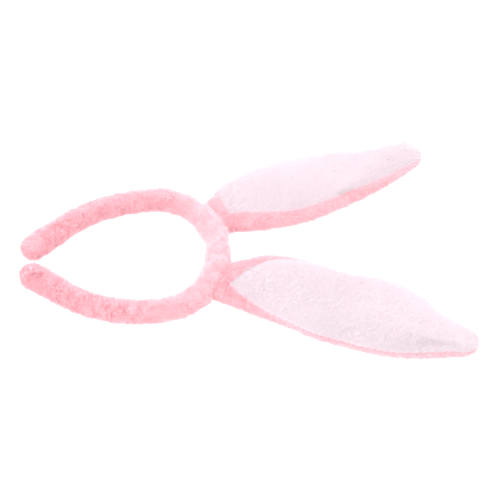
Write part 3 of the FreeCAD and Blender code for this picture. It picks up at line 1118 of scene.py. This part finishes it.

# %% [markdown]
# Cloth bends, so what crosses a joint would be blended between two bodies, over a length that suits how
# sharply it can bend: long in the shoulder of the hoop, and short at an ear's neck, where the wire inside
# is bent close to the sleeve. These zones are set here; the functions below work out a zone's ends, but
# only bake each piece's transform into its mesh.

# %% Where soft pieces bend
ARM_BEND = 18 * MM
LEAN_ZONE = (-1 * MM, 16 * MM)
FOLD_ZONE = (78 * MM, 122 * MM)


def on_side(point, side):
    return (point.x * side, point.y, point.z)


def bend_at_arm(piece):
    start = spread_pivot - along(SPREAD_HEADING) * ARM_BEND
    end = spread_pivot + along(SPREAD_HEADING) * ARM_BEND
    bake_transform(piece)


def bend_at_ear(piece, side_name, level):
    side = SIDES[side_name]
    zone = LEAN_ZONE if level == "lower" else FOLD_ZONE
    start, end = (on_side(ear_foot + outward(EAR_HEADING) * reach, side) for reach in zone)
    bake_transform(piece)


def dress(nodes):
    """Hides the engineering parts that a piece stands for."""
    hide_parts(*nodes)


print("an arm bends over", round(2 * ARM_BEND / MM), "mm of its length")

# %% [markdown]
# The pieces are taken in two groups on each side, the arm's and the ear's: each has its transform baked,
# and the engineering parts that it stands for are hidden. A cover stands for the plain cloth parts of the
# engineering model, and its pile stands for none of them, because that model has no pile.

# %% Bake the pieces and hide the parts they replace
for side_name in SIDES:
    sleeve_nodes = [f"hoop_sleeve_{side_name}", f"sleeve_end_{side_name}", "hoop_sleeve_crown"]
    arm_pieces = {
        hoop_covers[side_name]: ("pink_plush", sleeve_nodes),
        hoop_piles[side_name]: ("pink_plush", []),
        hoop_cores[side_name]: ("polyester_wadding", [f"hoop_wadding_{side_name}", "hoop_wadding_crown"]),
        hoop_seams[side_name]: ("sewing_thread", [f"sleeve_seam_{side_name}", "sleeve_seam_crown"]),
    }
    for piece, (slot, nodes) in arm_pieces.items():
        bend_at_arm(piece)
        dress(nodes)
    for level in LEVELS:
        stuffing, _ = ear_parts[("filling", side_name, level)]
        ear_pieces = {
            stuffing: ("polyester_wadding", [f"ear_wadding_{side_name}_{level}"]),
            ear_stitches[(side_name, level)]: ("sewing_thread", [f"ear_seam_{side_name}_{level}"]),
        }
        for cloth_name, slot in (("back", "pink_plush"), ("lining", "white_plush")):
            cover, pile = ear_parts[(cloth_name, side_name, level)]
            ear_pieces[cover] = (slot, [f"ear_{cloth_name}_{side_name}_{level}"])
            ear_pieces[pile] = (slot, [])
        for piece, (slot, nodes) in ear_pieces.items():
            bend_at_ear(piece, side_name, level)
            dress(nodes)
    bend_at_ear(neck_threads[side_name], side_name, "lower")
    dress([f"ear_neck_gather_{side_name}"])
discard(*hoop_scalps.values())

# %% [markdown]
# The headband is shown on a plain white floor. A floor that only reflected light would look grey beside
# the white room, so it glows a little as well.

# %% Floor
FLOOR_HALF = 6.0
FLOOR_GLOW = 0.35
WHITE = (1, 1, 1, 1)
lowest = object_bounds()[0].z
floor_shader = Shader("studio floor", Roughness=0.8, Emission_Color=WHITE, Emission_Strength=FLOOR_GLOW)
floor_tone = floor_shader.mix(floor_shader.noise(6.0), (0.95, 0.95, 0.95, 1), (0.97, 0.97, 0.97, 1))
floor_shader.feed(Base_Color=floor_tone)
corners = [(x * FLOOR_HALF, y * FLOOR_HALF, lowest) for x, y in ((-1, -1), (1, -1), (1, 1), (-1, 1))]
studio_floor = make_object("studio_floor", corners, [(0, 1, 2, 3)], floor_shader.material, smooth=False)
print("floor at", round(lowest / MM, 1), "mm")

# %% [markdown]
# Lamps alone would leave hard shadows between the fibres. A white surround fills the pile with light from
# everywhere, a little brighter on one side so that round shapes still read as round, and one large soft
# panel in front gives the ears their gentle shading.

# %% Light
ROOM_LIGHT = 1.42
ROOM_SLOPE = 0.5
BRIGHT_WAY = (-0.72, -0.66, 0.20)
world = bpy.data.worlds.new("white room")
world.use_nodes = True
room = world.node_tree
background = room.nodes["Background"]
direction = room.nodes.new("ShaderNodeTexCoord")
facing = room.nodes.new("ShaderNodeVectorMath")
facing.operation = "DOT_PRODUCT"
facing.inputs[1].default_value = BRIGHT_WAY
strength = room.nodes.new("ShaderNodeMath")
strength.operation = "MULTIPLY_ADD"
strength.inputs[1].default_value = ROOM_SLOPE
strength.inputs[2].default_value = ROOM_LIGHT
room.links.new(direction.outputs["Generated"], facing.inputs[0])
room.links.new(facing.outputs["Value"], strength.inputs[0])
room.links.new(strength.outputs["Value"], background.inputs["Strength"])
background.inputs["Color"].default_value = WHITE
bpy.context.scene.world = world


def soft_panel(name, place, aim, size, power):
    lamp = bpy.data.lights.new(name, "AREA")
    lamp.shape = "DISK"
    lamp.size = size
    lamp.energy = power
    made = put_in_scene(name, lamp)
    made.location = place
    made.rotation_mode = "QUATERNION"
    made.rotation_quaternion = (Vector(aim) - Vector(place)).to_track_quat("-Z", "Y")


soft_panel("key panel", place=(-0.9, -1.6, 0.9), aim=(0, 0, 0.03), size=1.0, power=20.0)
print("light from a white room and one panel")

# %% [markdown]
# The camera looks at the headband from its front left, almost level, through a long lens, and it is
# rolled on its side so that the ears point to the right. A rotation is three unit vectors set as columns.

# %% Camera
AZIMUTH, ELEVATION, ROLL = 44.66, -3.3, -3.8
DISTANCE = 0.822
FOCAL_LENGTH = 89.7
TARGET = Vector((0.00286, 0.0, 0.0292))

azimuth, elevation, roll = (math.radians(v) for v in (AZIMUTH, ELEVATION, ROLL))
backwards = Vector((
    math.sin(azimuth) * math.cos(elevation),
    -math.cos(azimuth) * math.cos(elevation),
    math.sin(elevation),
))
ears_way = (Vector((0, 0, 1)) - backwards * backwards.z).normalized()
square = backwards.cross(ears_way)
right = ears_way * math.cos(roll) + square * math.sin(roll)
up = square * math.cos(roll) - ears_way * math.sin(roll)
camera_data = bpy.data.cameras.new("camera")
camera_data.lens = FOCAL_LENGTH
camera_data.clip_start, camera_data.clip_end = 0.01, 50.0
camera = put_in_scene("camera", camera_data)
turned = Matrix((right, up, backwards)).transposed().to_4x4()
camera.matrix_world = Matrix.Translation(TARGET + backwards * DISTANCE) @ turned
bpy.context.scene.camera = camera
bpy.context.scene.view_settings.view_transform = "Standard"
print("camera at", [round(v, 3) for v in camera.location])
